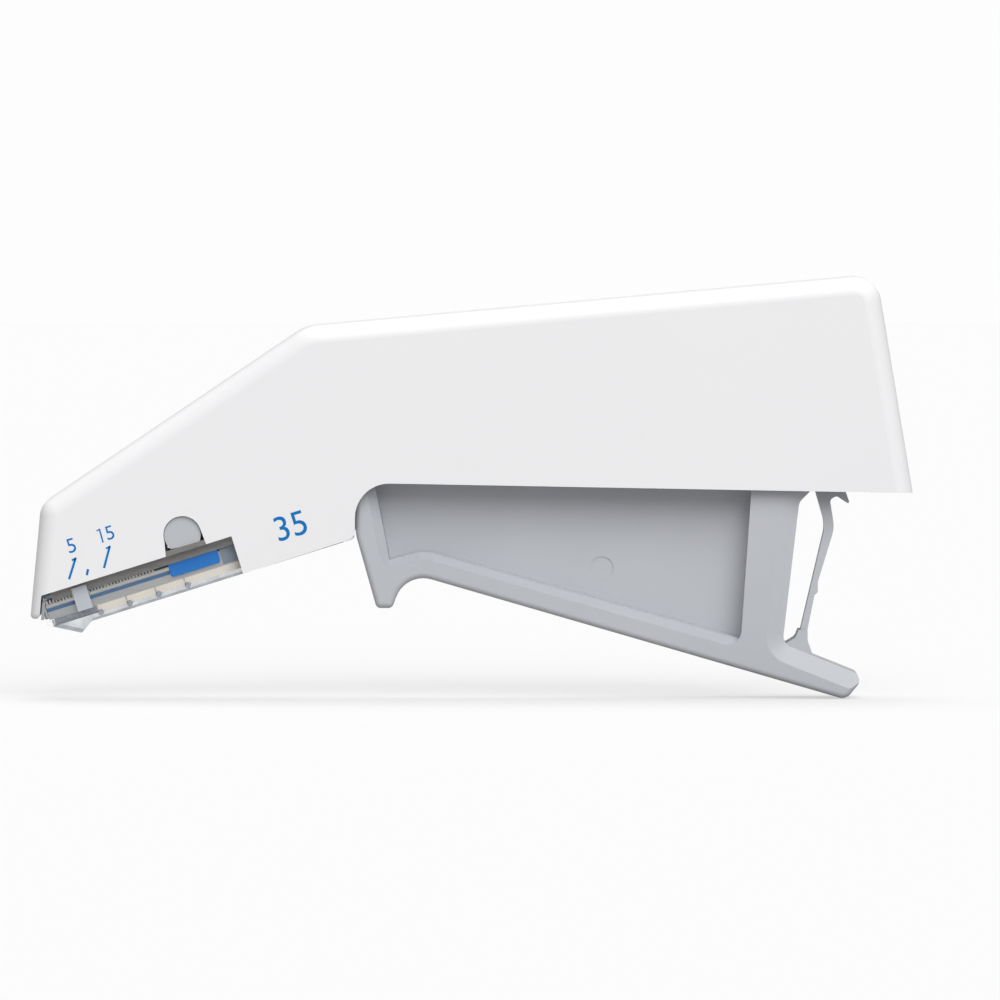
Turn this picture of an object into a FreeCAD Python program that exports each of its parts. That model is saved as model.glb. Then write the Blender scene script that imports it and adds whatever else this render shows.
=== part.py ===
import FreeCAD, Part
import math
import os
import Sketcher
from FreeCAD import Placement, Rotation, Vector

# Disposable skin stapler, lying in its own frame: the staple leaves at the origin, the nose points to -X,
# the handle side is at +X, +Z is up and Y = 0 is the plane where the two housing halves meet.

doc = FreeCAD.newDocument("SkinStapler")
sheet = doc.addObject("Spreadsheet::Sheet", "Sizes")


# A size keeps its number beside the sheet expression that it comes from, so that one formula
# places a sketch corner and also binds its constraint.
class Size:
    def __init__(self, value, text):
        self.value = value
        self.text = text

    def __add__(self, other):
        other = size_of(other)
        return Size(self.value + other.value, "(%s + %s)" % (self.text, other.text))

    def __sub__(self, other):
        other = size_of(other)
        return Size(self.value - other.value, "(%s - %s)" % (self.text, other.text))

    def __mul__(self, other):
        other = size_of(other)
        return Size(self.value * other.value, "%s * %s" % (self.text, other.text))

    def __truediv__(self, other):
        other = size_of(other)
        return Size(self.value / other.value, "%s / %s" % (self.text, other.text))

    def __neg__(self):
        return Size(-self.value, "(0 - %s)" % self.text)

    def __radd__(self, other):
        return size_of(other) + self

    def __rsub__(self, other):
        return size_of(other) - self

    def __rmul__(self, other):
        return size_of(other) * self


def size_of(number):
    if isinstance(number, Size):
        return number
    return Size(float(number), "(%r)" % float(number))


def sine(angle):
    return Size(math.sin(math.radians(angle.value)), "sin(%s)" % angle.text)


def cosine(angle):
    return Size(math.cos(math.radians(angle.value)), "cos(%s)" % angle.text)


def root(size):
    return Size(math.sqrt(size.value), "sqrt(%s)" % size.text)


# Driving sizes in millimetres and degrees. u, w are the cartridge's frame, x, z the stapler's.
sizes = {
    # Directions and the trigger's pivot
    "cartridge_angle": 17.4,    # the staple row rises by this towards the handle
    "former_lean": 5.4,         # the former slides this far off the vertical
    "pivot_x": 24.06,           # trigger pivot
    "pivot_z": 15.2,
    "trigger_swing": 13.0,
    # Housing
    "side_play": 0.3,           # room between the cartridge and each side wall
    "wall": 1.6,
    "edge_radius": 3.0,
    "front_gap": 1.0,           # from the row's origin plane forward to the front wall
    "front_height": 20.2,
    "front_corner_radius": 3.4,
    "brow_x": 45.5,
    "brow_z": 51.5,
    "brow_radius": 8.0,
    "rear_top_to_rear": 6.3,
    "rear_top_z": 60.5,
    "rear_top_radius": 4.6,
    "rear_x": 151.5,            # rear lower corner; the _to_rear sizes run forward from it
    "rear_bottom_z": 22.5,
    "throat_x": 54.15,          # where the handle edge turns down to the nose
    "throat_z": 24.3,
    "throat_radius": 6.0,
    "chin_z": 14.7,
    "chin_radius": 1.7,
    "nose_under": 2.3,          # nose underside below the staple row
    "window_rear": 35.6,
    "window_top": 4.55,
    "notch_radius": 3.3,
    "notch_front_flare": 0.8,
    "notch_rear_flare": 0.25,
    "boss_radius": 2.2,
    "pin_radius": 1.1,
    "pin_length": 3.0,
    "pin_play": 0.08,
    "rib": 1.5,
    "lip_radius": 0.7,          # rounding of the front wall's lower end
    "gap": 0.25,                # room between pieces that don't touch
    "weld": 0.3,                # how far a rib sinks into the wall that carries it
    "grip_bottom": 1.5,
    "grip_top": 3.2,
    "guide_bottom": 6.2,
    "guide_top": 15.5,
    "ledge_height": 1.7,
    "ramp_bottom_to_rear": 10.5,
    "ramp_bottom_z": 23.6,
    "ramp_top_to_rear": 19.0,
    "ramp_top_z": 49.0,
    "boss_front_x": 32.0,
    "boss_front_z": 34.0,
    "boss_top_x": 75.0,
    "boss_top_z": 49.3,
    "boss_rear_to_rear": 9.9,
    "boss_rear_z": 54.4,
    "boss_low_to_rear": 5.5,
    "boss_low_z": 28.5,
    "drop": 8.0,                # how far a cut for an open underside reaches below it
    # Trigger and return leaf
    "trigger_play": 1.0,        # room between the grip and the side wall
    "web_half": 1.1,
    "arm_half": 1.5,
    "shaft_radius": 3.2,
    "shaft_depth": 0.6,         # the shaft's ends below the housing's side
    "shaft_flat": 2.03,
    "shaft_flat_angle": 11.2,
    "tip_across": 0.68,         # where the arm's tip stands behind the staple row's origin plane
    "arm_tip_radius": 1.1,
    "arm_rest_angle": 1.5,
    "trigger_top": 25.5,
    "web_top": 30.0,
    "trigger_edge_radius": 1.0,
    "grip_front_x": 54.3,
    "grip_front_z": 15.05,
    "hook_x": 57.9,             # the hook that the finger rests against
    "hook_z": 2.3,
    "hook_length": 2.7,
    "hook_radius": 1.0,
    "under_x": 63.0,            # where the long underside starts
    "under_z": 8.6,
    "under_radius": 5.0,
    "tail_to_rear": 11.6,
    "tail_z": -13.7,
    "tail_end_to_rear": 8.3,
    "tail_end_z": -9.65,
    "tail_radius": 2.0,
    "tail_end_radius": 1.6,
    "bevel_width": 3.0,         # the broad bevel on the post's rear and the tail's upper side
    "bevel_depth": 0.8,
    "post_foot_to_rear": 22.7,
    "post_foot_z": -3.9,
    "post_top_to_rear": 19.8,
    "post_top_z": 20.8,
    "flange_to_rear": 17.3,
    "recess_top": 23.9,
    "recess_front_x": 55.9,
    "recess_low_x": 58.9,
    "recess_low_z": 8.9,
    "recess_knee_x": 66.2,
    "recess_knee_z": 10.9,
    "recess_rear_to_rear": 30.1,
    "recess_rear_z": -4.84,
    "recess_lean": 2.0,
    "recess_radius": 2.5,
    "gate_x": 97.2,             # round ejector mark on the web
    "gate_z": 9.03,
    "gate_radius": 2.1,
    "gate_depth": 0.15,
    "web_front": 56.0,
    "web_end_to_rear": 23.5,
    "neck_x": 6.5,              # where the driving arm starts to widen
    "neck_z": 14.8,
    "neck_half": 1.1,
    "arm_height": 4.3,          # the arm above the pivot
    "ear_to_rear": 27.0,
    "ear_length": 4.5,
    "ear_bottom": 25.3,
    "ear_side_play": 0.3,
    "ear_play": 0.05,
    "leaf_half": 3.2,
    "foot_to_rear": 19.9,
    "foot_z": -6.0,
    "foot_radius": 1.3,
    "foot_play": 0.12,
    "leaf_thickness": 1.6,
    "leaf_bend_to_rear": 15.2,  # the left side of the leaf's bend
    "leaf_bend_z": 16.7,
    "leaf_bend_radius": 6.0,
    "leaf_top_z": 24.8,
    "leaf_tip_to_rear": 10.8,   # tip of the barb
    "leaf_tip_z": 20.2,
    "leaf_step_z": 4.4,         # the small step on the leaf's rear side
    "leaf_step": 0.6,
    # Cartridge and what lies in it
    "trough_wall": 0.8,
    "body_bottom": -2.35,
    "body_floor": -1.3,
    "body_top": 4.9,
    "body_rear": 54.0,
    "nose_u": 0.25,
    "keel_u": 5.6,
    "keel_w": -3.8,
    "keel_rear": 7.8,
    "nose_low": -0.77,
    "shoulder": 1.4,
    "pad_front": 6.1,
    "pad_length": 2.7,
    "pad_bottom": -0.1,
    "pad_height": 4.2,
    "pad_proud": 0.25,
    "peg_front": 9.4,
    "peg_pitch": 5.3,
    "peg_count": 4,
    "peg_width": 0.45,
    "peg_radius": 0.6,
    "peg_top": 0.1,
    "peg_proud": 0.15,
    "plug_length": 2.0,
    "strip_play": 0.4,
    "strip_front": 9.4,
    "track_side": 0.35,         # the track's side beyond the staples
    "track_wall": 0.25,
    "track_bottom": -0.05,
    "track_top": 2.6,
    "track_front": 0.9,
    "rail_side": 0.6,           # how far the rail stays inside the staples
    "rail_wall": 0.3,
    "rail_top": 2.7,
    "rail_slot_half": 0.6,
    "cover_top": 4.85,
    "cover_skirt": 3.3,
    "cover_front": 2.4,
    "tongue_thickness": 0.8,
    "tongue_reach": 0.9,
    # Staples
    "staple_half": 5.2,         # half the crown: the stapler's width follows from it
    "staple_wire": 0.5,
    "staple_height": 3.2,
    "staple_pitch": 0.586,
    "staple_depth": 0.5,        # plane of the ready staple, in front of the origin
    "staple_count": 35,
    # Pusher and its spring
    "pusher_front": 23.4,
    "pusher_length": 9.0,
    "cheek": 0.55,
    "pusher_play": 0.1,
    "cheek_bottom": 0.7,
    "bridge_bottom": 2.78,
    "bridge_top": 3.22,
    "block_half": 4.5,
    "block_top": 4.4,
    "foot_half": 0.5,
    "foot_bottom": 0.5,
    "slider_half": 1.3,         # the pusher's foot widens inside the rail
    "slider_top": 2.2,
    "rod_half": 0.35,
    "rod_play": 0.1,
    "rod_front": 7.0,
    "ejector_front": 3.3,
    "ejector_bend": 6.0,
    "ejector_rear": 12.5,
    "ejector_half": 1.5,
    "ejector_thickness": 0.2,
    "rail_hollow_front": 3.0,
    "rail_slot_front": 4.0,
    "spring_radius": 1.0,
    "spring_wire": 0.3,
    "spring_turns": 12,
    "pusher_corner": 0.5,
    "foot_length": 6.0,
    # Former and its carrier
    "former_thickness": 0.8,
    "former_gap": 0.1,
    "former_bottom": 4.4,
    "former_top": 17.2,
    "former_notch_half": 3.2,
    "former_notch_height": 4.3,
    "carrier_half": 3.2,
    "carrier_rear": 2.2,
    "carrier_wall": 1.25,
    "slot_play": 0.13,
}


class Named:
    pass


# The sheet holds each size under its name, and dim gives it to the formulas below
dim = Named()
for row, (name, value) in enumerate(sizes.items(), 1):
    sheet.set("A%d" % row, name.replace("_", " "))
    sheet.set("B%d" % row, repr(value))
    sheet.setAlias("B%d" % row, name)
    setattr(dim, name, Size(float(value), "Sizes." + name))
doc.recompute()
for name in sizes:
    if name.endswith("_to_rear"):
        setattr(dim, name.replace("_to_rear", "_x"), dim.rear_x - getattr(dim, name))
# Across the stapler everything follows from the staple's crown, from the track out to the side walls
dim.former_half = dim.staple_half
dim.tongue_half = dim.staple_half / 2
dim.rail_half = dim.staple_half - dim.rail_side
dim.track_half = dim.staple_half + dim.track_side
dim.cheek_inner = dim.track_half + dim.pusher_play
dim.pusher_half = dim.cheek_inner + dim.cheek
dim.body_inner = dim.pusher_half + dim.pusher_play
dim.strip_half = dim.body_inner - dim.strip_play
dim.body_half = dim.body_inner + dim.trough_wall
inner_half = dim.body_half + dim.side_play
dim.half_width = inner_half + dim.wall
dim.shaft_half = dim.half_width - dim.shaft_depth
dim.trigger_half = inner_half - dim.trigger_play
dim.ear_half = inner_half - dim.ear_side_play
# The arm's tip stands under the former's carrier
pivot_across = dim.pivot_x * cosine(dim.former_lean) - dim.pivot_z * sine(dim.former_lean)
dim.arm_reach = (pivot_across - dim.tip_across) / cosine(dim.former_lean + dim.arm_rest_angle)


# Turns a point of the cartridge's frame, where u runs back along the staple row and w square to it,
# into the stapler's frame
def cartridge_point(u, w):
    u = size_of(u)
    w = size_of(w)
    angle = dim.cartridge_angle
    return (u * cosine(angle) - w * sine(angle), u * sine(angle) + w * cosine(angle))


# The same for the former's frame, where the second number runs up along its travel
def former_point(across, along):
    across = size_of(across)
    along = size_of(along)
    angle = dim.former_lean
    return (across * cosine(angle) + along * sine(angle), along * cosine(angle) - across * sine(angle))


# A point of the former's frame as seen in the cartridge's frame
def former_in_cartridge(across, along):
    across = size_of(across)
    along = size_of(along)
    angle = dim.former_lean + dim.cartridge_angle
    return (across * cosine(angle) + along * sine(angle), along * cosine(angle) - across * sine(angle))


# Pieces

parts = []


def new_body(name, frame=None):
    body = doc.addObject("PartDesign::Body", name)
    body.Label = name
    if frame is not None:
        body.Placement = Placement(Vector(), Rotation(Vector(0, -1, 0), frame.value))
        body.setExpression("Placement.Rotation.Angle", frame.text)
    parts.append(body)
    return body


def new_sketch(body, name, role, offset=None, lean=None):
    plane = next(item for item in body.Origin.OriginFeatures if item.Role == role)
    sketch = body.newObject("Sketcher::SketchObject", name)
    sketch.AttachmentSupport = [(plane, "")]
    sketch.MapMode = "FlatFace"
    offset = size_of(offset or 0)
    turn = Rotation(Vector(0, 0, 1), lean.value if lean is not None else 0)
    sketch.AttachmentOffset = Placement(Vector(0, 0, offset.value), turn)
    sketch.setExpression("AttachmentOffset.Base.z", offset.text)
    if lean is not None:
        sketch.setExpression("AttachmentOffset.Rotation.Angle", lean.text)
    return sketch


def bind(sketch, constraint, size):
    number = sketch.addConstraint(constraint)
    sketch.setExpression("Constraints[%d]" % number, size.text)


# Closed outline of straight sides. A corner with a third size is rounded to that radius by a tangent arc.
def draw_outline(sketch, corners):
    corners = [[size_of(size) for size in corner] for corner in corners]
    count = len(corners)
    points = [Vector(corner[0].value, corner[1].value, 0) for corner in corners]
    arrive = []
    leave = []
    arcs = []
    for i, corner in enumerate(corners):
        point = points[i]
        back = (points[i - 1] - point).normalize()
        ahead = (points[(i + 1) % count] - point).normalize()
        if len(corner) < 3:
            arrive.append(point)
            leave.append(point)
            arcs.append(None)
            continue
        radius = corner[2].value
        half_angle = back.getAngle(ahead) / 2
        reach = radius / math.tan(half_angle)
        arrive.append(point + back * reach)
        leave.append(point + ahead * reach)
        centre = point + (back + ahead).normalize() * (radius / math.sin(half_angle))
        turns_left = (back.cross(ahead)).z < 0
        start = arrive[i] if turns_left else leave[i]
        end = leave[i] if turns_left else arrive[i]
        first = math.atan2(start.y - centre.y, start.x - centre.x)
        last = math.atan2(end.y - centre.y, end.x - centre.x)
        arcs.append((Part.ArcOfCircle(Part.Circle(centre, Vector(0, 0, 1), radius), first, last), turns_left))
    for i in range(count):
        sketch.addGeometry(Part.LineSegment(leave[i], arrive[(i + 1) % count]), False)
    for i, corner in enumerate(corners):
        before = (i - 1) % count
        if arcs[i] is None:
            sketch.addConstraint(Sketcher.Constraint("Coincident", before, 2, i, 1))
            bind(sketch, Sketcher.Constraint("DistanceX", -1, 1, i, 1, points[i].x), corner[0])
            bind(sketch, Sketcher.Constraint("DistanceY", -1, 1, i, 1, points[i].y), corner[1])
            continue
        curve, turns_left = arcs[i]
        arc = sketch.addGeometry(curve, False)
        mark = sketch.addGeometry(Part.Point(points[i]), True)
        arrival_end, leaving_end = (1, 2) if turns_left else (2, 1)
        sketch.addConstraint(Sketcher.Constraint("Tangent", before, 2, arc, arrival_end))
        sketch.addConstraint(Sketcher.Constraint("Tangent", arc, leaving_end, i, 1))
        sketch.addConstraint(Sketcher.Constraint("PointOnObject", mark, 1, before))
        sketch.addConstraint(Sketcher.Constraint("PointOnObject", mark, 1, i))
        bind(sketch, Sketcher.Constraint("DistanceX", -1, 1, mark, 1, points[i].x), corner[0])
        bind(sketch, Sketcher.Constraint("DistanceY", -1, 1, mark, 1, points[i].y), corner[1])
        bind(sketch, Sketcher.Constraint("Radius", arc, corner[2].value), corner[2])


def draw_circle(sketch, centre, radius):
    x, y = (size_of(size) for size in centre)
    radius = size_of(radius)
    circle = Part.Circle(Vector(x.value, y.value, 0), Vector(0, 0, 1), radius.value)
    ring = sketch.addGeometry(circle, False)
    bind(sketch, Sketcher.Constraint("DistanceX", -1, 1, ring, 3, x.value), x)
    bind(sketch, Sketcher.Constraint("DistanceY", -1, 1, ring, 3, y.value), y)
    bind(sketch, Sketcher.Constraint("Radius", ring, radius.value), radius)


def extrude(body, sketch, kind, name, length, reverse):
    feature = body.newObject("PartDesign::" + kind, name)
    feature.Profile = sketch
    feature.setExpression("Length", size_of(length).text)
    feature.Length = size_of(length).value
    feature.Reversed = reverse
    sketch.Visibility = False
    return feature


# Material added, or removed by a Pocket, between two distances across the stapler
def slab(body, name, shape, y_from, y_to, kind="Pad", lean=None):
    y_from = size_of(y_from)
    y_to = size_of(y_to)
    sketch = new_sketch(body, name + "_sketch", "XZ_Plane", -y_from, lean)
    if isinstance(shape, tuple):
        draw_circle(sketch, shape[0], shape[1])
    else:
        draw_outline(sketch, shape)
    return extrude(body, sketch, kind, name, y_to - y_from, kind == "Pad")


def box_corners(left, bottom, right, top):
    return [(left, bottom), (right, bottom), (right, top), (left, top)]


# The span from near to far on one side of the mid-plane
def span(side, near, far):
    near = size_of(near)
    far = size_of(far)
    return (near, far) if side > 0 else (-far, -near)


def middle_of(edge):
    return edge.valueAt((edge.FirstParameter + edge.LastParameter) / 2)


def edges_where(shape, test):
    return ["Edge%d" % (i + 1) for i, edge in enumerate(shape.Edges) if test(edge)]


def fillet(body, name, edges, radius):
    base = body.Tip
    feature = body.newObject("PartDesign::Fillet", name)
    feature.Base = (base, edges)
    feature.Radius = radius.value
    feature.setExpression("Radius", radius.text)
    return feature


# A bevel that reaches further over the side face than it goes deep
def bevel(body, name, edges, width, depth):
    base = body.Tip
    feature = body.newObject("PartDesign::Chamfer", name)
    feature.Base = (base, edges)
    feature.ChamferType = "Two distances"
    feature.Size = width.value
    feature.Size2 = depth.value
    feature.setExpression("Size", width.text)
    feature.setExpression("Size2", depth.text)
    feature.FlipDirection = True
    return feature


pivot = (dim.pivot_x, dim.pivot_z)
pivot_x, pivot_z = pivot
row_angle = dim.cartridge_angle
# The pivot in the cartridge's frame
pivot_u = pivot_x * cosine(row_angle) + pivot_z * sine(row_angle)
pivot_w = pivot_z * cosine(row_angle) - pivot_x * sine(row_angle)
front_plane = dim.front_gap + dim.wall


# Where a line square to nothing but parallel to the former crosses a height w of the cartridge's frame
def front_u(depth, w):
    cant = dim.former_lean + dim.cartridge_angle
    return size_of(w) * sine(cant) / cosine(cant) + size_of(depth) / cosine(cant)


# The corner where two walls of one thickness meet inside an outline that runs counter-clockwise
def inset_corner(before, corner, after, distance):
    sides = []
    for start, end in ((before, corner), (corner, after)):
        run = end[0] - start[0]
        rise = end[1] - start[1]
        length = root(run * run + rise * rise)
        sides.append((-(rise / length), run / length))
    first, second = sides
    share = distance / (1 + first[0] * second[0] + first[1] * second[1])
    return (corner[0] + share * (first[0] + second[0]), corner[1] + share * (first[1] + second[1]))


# Housing halves: moulded shells with an open underside, a window for the cartridge and a notch that
# carries the trigger's shaft
front_bottom = former_point(-front_plane, 0)
front_top = former_point(-front_plane, dim.front_height)
brow = (dim.brow_x, dim.brow_z)
rear_top = (dim.rear_top_x, dim.rear_top_z)
rear_bottom = (dim.rear_x, dim.rear_bottom_z)
under_rear = cartridge_point(dim.window_rear, -dim.nose_under)


def build_housing(name, side):
    body = new_body(name)
    outline = [
        front_bottom,
        under_rear,
        (dim.throat_x, dim.chin_z, dim.chin_radius),
        (dim.throat_x, dim.throat_z, dim.throat_radius),
        rear_bottom,
        (*rear_top, dim.rear_top_radius),
        (*brow, dim.brow_radius),
        (*front_top, dim.front_corner_radius),
    ]
    slab(body, name + "_block", outline, *span(side, 0, dim.half_width))
    doc.recompute()

    # The outer edge is rounded round the front, the top and the rear, and stays sharp below
    outer = side * dim.half_width.value
    lean = math.radians(row_angle.value)

    def is_outer_top(edge):
        middle = middle_of(edge)
        on_side = edge.BoundBox.YLength < 0.01 and abs(middle.y - outer) < 0.01
        above_row = middle.z * math.cos(lean) - middle.x * math.sin(lean) > 1
        above_handle = middle.x < dim.throat_x.value or middle.z > dim.throat_z.value + 1
        return on_side and above_row and above_handle

    fillet(body, name + "_edge", edges_where(body.Tip.Shape, is_outer_top), dim.edge_radius)

    # Hollow, open along the parting plane and below
    wall = dim.wall
    below = dim.rear_bottom_z - dim.drop
    cavity = [
        former_point(-dim.front_gap, -dim.drop),
        (dim.throat_x, -dim.drop),
        (rear_bottom[0] - wall, below),
        inset_corner(under_rear, rear_bottom, rear_top, wall),
        (*inset_corner(rear_bottom, rear_top, brow, wall), dim.rear_top_radius - wall),
        (*inset_corner(rear_top, brow, front_top, wall), dim.brow_radius - wall),
        (*inset_corner(brow, front_top, front_bottom, wall), dim.front_corner_radius - wall),
    ]
    slab(body, name + "_cavity", cavity, *span(side, 0, inner_half), kind="Pocket")

    # The window through the side wall for the cartridge, and the notch above it for the trigger's shaft
    through = span(side, 0, dim.half_width + 1)
    window = [
        (front_u(-dim.front_gap, -dim.drop), -dim.drop),
        (dim.window_rear, -dim.drop),
        (dim.window_rear, dim.window_top),
        (front_u(-dim.front_gap, dim.window_top), dim.window_top),
    ]
    slab(body, name + "_window", window, *through, kind="Pocket", lean=row_angle)
    slab(body, name + "_notch", (pivot, dim.notch_radius), *through, kind="Pocket")
    throat = [
        (pivot_u - dim.notch_radius - dim.notch_front_flare, dim.window_top - 1),
        (pivot_u + dim.notch_radius + dim.notch_rear_flare, dim.window_top - 1),
        (pivot_u + dim.notch_radius, pivot_w),
        (pivot_u - dim.notch_radius, pivot_w),
    ]
    slab(body, name + "_notch_mouth", throat, *through, kind="Pocket", lean=row_angle)

    # The wall between the end of the cartridge and the trigger, close to an arc round the pivot
    partition = [
        (dim.body_rear + dim.gap, -dim.nose_under),
        (dim.body_rear + dim.gap + dim.rib, -dim.nose_under),
        (dim.body_rear + dim.gap + dim.rib * 2, dim.body_top + dim.gap),
        (dim.body_rear + dim.gap + dim.rib, dim.body_top + dim.gap),
    ]
    to_wall = span(side, 0, inner_half + dim.weld)
    slab(body, name + "_partition", partition, *to_wall, lean=row_angle)

    # The front wall ends in a rounded lip
    def is_lip(edge):
        middle = middle_of(edge)
        across = edge.BoundBox.YLength > inner_half.value / 2
        level = edge.BoundBox.XLength < 0.01 and edge.BoundBox.ZLength < 0.01
        return across and level and middle.x < 0 and middle.z < dim.lip_radius.value * 2

    doc.recompute()
    fillet(body, name + "_lip", edges_where(body.Tip.Shape, is_lip), dim.lip_radius)

    # Rails on the side wall that grip the cartridge, and the guide behind the former
    grip = box_corners(dim.window_rear + dim.gap, dim.grip_bottom, dim.body_rear - dim.plug_length, dim.grip_top)
    slab(body, name + "_grip", grip, *span(side, dim.body_half, inner_half + dim.weld), lean=row_angle)
    guide = box_corners(0, dim.guide_bottom, dim.rib, dim.guide_top)
    guide_span = span(side, dim.carrier_half + dim.gap, inner_half + dim.weld)
    slab(body, name + "_guide", guide, *guide_span, lean=-dim.former_lean)

    # The ledge under the trigger's ears and the ramp that the return leaf slides on
    ledge = box_corners(dim.ear_x, dim.ear_bottom - dim.ledge_height, dim.ear_x + dim.ear_length, dim.ear_bottom)
    slab(body, name + "_ledge", ledge, *span(side, dim.trigger_half + dim.gap, inner_half + dim.weld))
    ramp = [
        (dim.ramp_bottom_x, dim.ramp_bottom_z),
        (dim.ramp_bottom_x + dim.rib, dim.ramp_bottom_z),
        (dim.ramp_top_x + dim.rib, dim.ramp_top_z),
        (dim.ramp_top_x, dim.ramp_top_z),
    ]
    slab(body, name + "_ramp", ramp, *to_wall)

    # Bosses where the halves meet: pins on the left half, sockets on the right one
    for i, place in enumerate(boss_places):
        boss = "%s_boss_%d" % (name, i + 1)
        slab(body, boss, (place, dim.boss_radius), *to_wall)
        if side > 0:
            slab(body, boss + "_pin", (place, dim.pin_radius), -dim.pin_length, 0)
        else:
            socket = (place, dim.pin_radius + dim.pin_play)
            slab(body, boss + "_socket", socket, -dim.pin_length - dim.gap, 0, kind="Pocket")
    return body


boss_places = [
    (dim.boss_front_x, dim.boss_front_z),
    (dim.boss_top_x, dim.boss_top_z),
    (dim.boss_rear_x, dim.boss_rear_z),
    (dim.boss_low_x, dim.boss_low_z),
]
housing_left = build_housing("housing_left", 1)
housing_right = build_housing("housing_right", -1)


# Trigger: a wide hollow-sided grip with a web, an arm forward over the cartridge, a shaft across it with
# a flat below, and a round tip that drives the former
trigger = new_body("trigger")
flange_rise = dim.flange_x - dim.post_top_x
grip_outline = [
    (dim.grip_front_x - dim.gap, dim.trigger_top),
    (dim.grip_front_x, dim.grip_front_z, dim.under_radius),
    (dim.hook_x, dim.hook_z, dim.hook_radius),
    (dim.hook_x + dim.hook_length, dim.hook_z, dim.hook_radius),
    (dim.under_x, dim.under_z, dim.under_radius),
    (dim.tail_x, dim.tail_z, dim.tail_radius),
    (dim.tail_end_x, dim.tail_end_z),
    (dim.post_foot_x, dim.post_foot_z, dim.tail_radius),
    (dim.post_top_x, dim.post_top_z, dim.tail_radius),
    (dim.flange_x, dim.post_top_z + flange_rise),
    (dim.flange_x, dim.trigger_top),
]
slab(trigger, "trigger_grip", grip_outline, -dim.trigger_half, dim.trigger_half)
doc.recompute()


# The edges of the grip's sides: a broad bevel from the tail up the post, and a rounding on the others
def is_side_edge(edge):
    middle = middle_of(edge)
    on_side = edge.BoundBox.YLength < 0.01 and abs(abs(middle.y) - dim.trigger_half.value) < 0.01
    return on_side and middle.z < dim.throat_z.value - 1


def is_bevel_edge(edge):
    middle = middle_of(edge)
    behind_post = middle.x > dim.post_foot_x.value and middle.z > dim.tail_end_z.value + 0.5
    return is_side_edge(edge) and behind_post and middle.z < dim.post_top_z.value


def is_grip_edge(edge):
    middle = middle_of(edge)
    ahead_of_post = middle.x < dim.recess_rear_x.value
    below_tail = middle.z < dim.tail_z.value + dim.trigger_edge_radius.value
    return is_side_edge(edge) and (ahead_of_post or below_tail)


bevel(trigger, "trigger_bevel", edges_where(trigger.Tip.Shape, is_bevel_edge), dim.bevel_width, dim.bevel_depth)
doc.recompute()
fillet(trigger, "trigger_edge", edges_where(trigger.Tip.Shape, is_grip_edge), dim.trigger_edge_radius)
outside_x = dim.tail_end_x + dim.drop
tail_round = [
    ((dim.tail_end_x + dim.post_foot_x) / 2, (dim.tail_end_z + dim.post_foot_z) / 2),
    (dim.tail_end_x, dim.tail_end_z, dim.tail_end_radius),
    ((dim.tail_end_x + dim.tail_x) / 2, (dim.tail_end_z + dim.tail_z) / 2),
    (outside_x, (dim.tail_end_z + dim.tail_z) / 2),
    (outside_x, (dim.tail_end_z + dim.post_foot_z) / 2),
]
slab(trigger, "trigger_tail", tail_round, -dim.half_width, dim.half_width, kind="Pocket")
recess = [
    (dim.recess_front_x, dim.recess_top, dim.web_half),
    (dim.recess_low_x, dim.recess_low_z, dim.recess_radius),
    (dim.recess_knee_x, dim.recess_knee_z, dim.recess_radius * 1.6),
    (dim.recess_rear_x, dim.recess_rear_z, dim.recess_radius),
    (dim.recess_rear_x + dim.recess_lean, dim.recess_top, dim.web_half),
]
for side in (1, -1):
    name = "trigger_recess_left" if side > 0 else "trigger_recess_right"
    slab(trigger, name, recess, *span(side, dim.web_half, dim.trigger_half + 1), kind="Pocket")
for side in (1, -1):
    name = "trigger_gate_left" if side > 0 else "trigger_gate_right"
    mark = ((dim.gate_x, dim.gate_z), dim.gate_radius)
    slab(trigger, name, mark, *span(side, dim.web_half - dim.gate_depth, dim.web_half + 1), kind="Pocket")
web = box_corners(dim.web_front, dim.trigger_top - 1, dim.web_end_x, dim.web_top)
slab(trigger, "trigger_web", web, -dim.web_half, dim.web_half)
tip = (pivot_x - dim.arm_reach * cosine(dim.arm_rest_angle), pivot_z - dim.arm_reach * sine(dim.arm_rest_angle))
arm_bottom = cartridge_point(pivot_u + dim.shaft_flat, dim.body_top + dim.gap * 2)
arm_rear = cartridge_point(pivot_u + dim.arm_reach + dim.shaft_radius * 2.4, dim.body_top + dim.gap * 2)
arm = [
    (tip[0], tip[1] - dim.arm_tip_radius * 0.8),
    (dim.neck_x, dim.neck_z - dim.neck_half, dim.under_radius),
    (pivot_x - dim.shaft_radius, pivot_z - dim.shaft_flat, dim.under_radius),
    (*arm_bottom, dim.under_radius),
    arm_rear,
    (dim.web_front + dim.rib, arm_rear[1]),
    (dim.web_front + dim.rib, dim.web_top),
    (pivot_x + dim.shaft_radius, pivot_z + dim.arm_height, dim.under_radius),
    (pivot_x - dim.shaft_radius * 3.5, pivot_z + dim.shaft_radius, dim.under_radius),
    (dim.neck_x, dim.neck_z + dim.neck_half, dim.under_radius),
    (tip[0], tip[1] + dim.arm_tip_radius * 0.8),
]
slab(trigger, "trigger_arm", arm, -dim.arm_half, dim.arm_half)
slab(trigger, "trigger_tip", (tip, dim.arm_tip_radius), -dim.arm_half, dim.arm_half)
slab(trigger, "trigger_shaft", (pivot, dim.shaft_radius), -dim.shaft_half, dim.shaft_half)
flat = dim.shaft_flat_angle
flat_u = pivot_x * cosine(flat) + pivot_z * sine(flat)
flat_w = pivot_z * cosine(flat) - pivot_x * sine(flat)
flat_cut = box_corners(
    flat_u - dim.shaft_radius, flat_w - dim.shaft_radius - 1,
    flat_u + dim.shaft_radius, flat_w - dim.shaft_flat)
slab(trigger, "trigger_flat", flat_cut, -dim.half_width, dim.half_width, kind="Pocket", lean=flat)
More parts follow.
